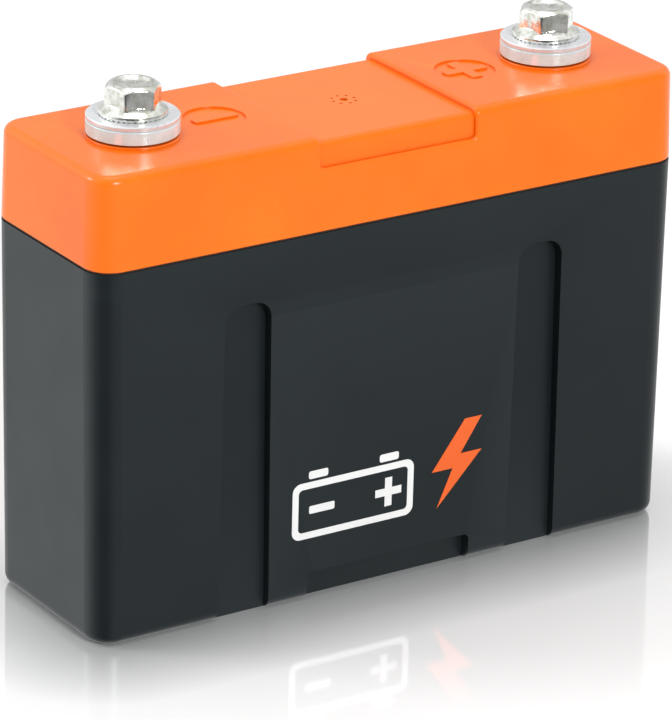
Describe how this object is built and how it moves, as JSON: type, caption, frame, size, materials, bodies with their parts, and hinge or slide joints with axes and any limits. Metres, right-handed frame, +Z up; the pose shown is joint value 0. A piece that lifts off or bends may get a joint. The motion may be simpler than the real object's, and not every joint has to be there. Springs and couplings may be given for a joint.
{
  "type": "motorcycle battery",
  "caption": "Slim box-shaped motorcycle starter battery with a strap recess in its cover and a bolt terminal at each end.",
  "frame": {"origin": "centre of the bottom face", "axes": "+Z up, +X along the length towards the positive terminal, -Y out of the printed front face"},
  "size_m": [0.114, 0.0346, 0.0904],
  "materials": {
    "case_black": "satin moulded, fine grain",
    "lid_orange": "smooth moulded, half gloss",
    "seal_black": "matte",
    "membrane_white": "porous film",
    "pad_foam": "closed-cell foam",
    "holder_plastic": "moulded",
    "sheet_paper": "insulating paper",
    "board_green": "solder mask",
    "screw_steel": "zinc plated",
    "sensor_epoxy": "epoxy",
    "chip_black": "moulded",
    "part_ceramic": "fired",
    "cell_steel": "nickel plated",
    "gasket_plastic": "moulded",
    "cell_roll": "wound foil",
    "cell_wrap": "shrink film",
    "busbar_nickel": "nickel strip",
    "wire_red": "insulated",
    "terminal_nickel": "satin nickel plating",
    "strap_copper": "bare copper",
    "nut_brass": "nickel plated",
    "washer_steel": "satin plated",
    "bolt_zinc": "bright zinc plating",
    "print_ink": "printed"
  },
  "bodies": {
    "battery": {"balance_board": "board_green", "board_capacitors": "part_ceramic", "board_chips": "chip_black", "board_resistors": "part_ceramic", "board_screws": "screw_steel", "bottom_holder": "holder_plastic", "bottom_pad": "pad_foam", "busbar_1_2": "busbar_nickel", "busbar_2_3": "busbar_nickel", "busbar_3_4": "busbar_nickel", "case_lower": "case_black", "cell_1_can": "cell_steel", "cell_1_cap": "cell_steel", "cell_1_gasket": "gasket_plastic", "cell_1_roll": "cell_roll", "cell_1_wrap": "cell_wrap", "cell_2_can": "cell_steel", "cell_2_cap": "cell_steel", "cell_2_gasket": "gasket_plastic", "cell_2_roll": "cell_roll", "cell_2_wrap": "cell_wrap", "cell_3_can": "cell_steel", "cell_3_cap": "cell_steel", "cell_3_gasket": "gasket_plastic", "cell_3_roll": "cell_roll", "cell_3_wrap": "cell_wrap", "cell_4_can": "cell_steel", "cell_4_cap": "cell_steel", "cell_4_gasket": "gasket_plastic", "cell_4_roll": "cell_roll", "cell_4_wrap": "cell_wrap", "insulation_sheet": "sheet_paper", "joint_seal": "seal_black", "lid_cover": "lid_orange", "negative_gasket": "seal_black", "negative_locknut": "nut_brass", "negative_post": "terminal_nickel", "negative_strap": "strap_copper", "positive_gasket": "seal_black", "positive_locknut": "nut_brass", "positive_post": "terminal_nickel", "positive_strap": "strap_copper", "tap_wire_1_2": "wire_red", "tap_wire_2_3": "wire_red", "tap_wire_3_4": "wire_red", "thermistor": "sensor_epoxy", "top_holder": "holder_plastic", "vent_membrane": "membrane_white"},
    "negative_washer": {"negative_washer": "washer_steel"},
    "negative_bolt": {"negative_bolt": "bolt_zinc"},
    "positive_washer": {"positive_washer": "washer_steel"},
    "positive_bolt": {"positive_bolt": "bolt_zinc"}
  },
  "joints": [
    {"name": "negative_bolt_lift", "type": "slide", "parent": "battery", "child": "negative_washer", "axis": [0, 0, 1], "range_m": [0, 0.0096]},
    {"name": "negative_bolt_turn", "type": "hinge", "parent": "negative_washer", "child": "negative_bolt", "pos_m": [-0.0405, 0, 0.08505], "axis": [0, 0, 1], "range_deg": [0, 4320]},
    {"name": "positive_bolt_lift", "type": "slide", "parent": "battery", "child": "positive_washer", "axis": [0, 0, 1], "range_m": [0, 0.0096]},
    {"name": "positive_bolt_turn", "type": "hinge", "parent": "positive_washer", "child": "positive_bolt", "pos_m": [0.0405, 0, 0.08505], "axis": [0, 0, 1], "range_deg": [0, 4320]}
  ],
  "couplings": [
    {"joint": "negative_bolt_turn", "follows": "negative_bolt_lift", "rad_per_m": 7854},
    {"joint": "positive_bolt_turn", "follows": "positive_bolt_lift", "rad_per_m": 7854}
  ]
}
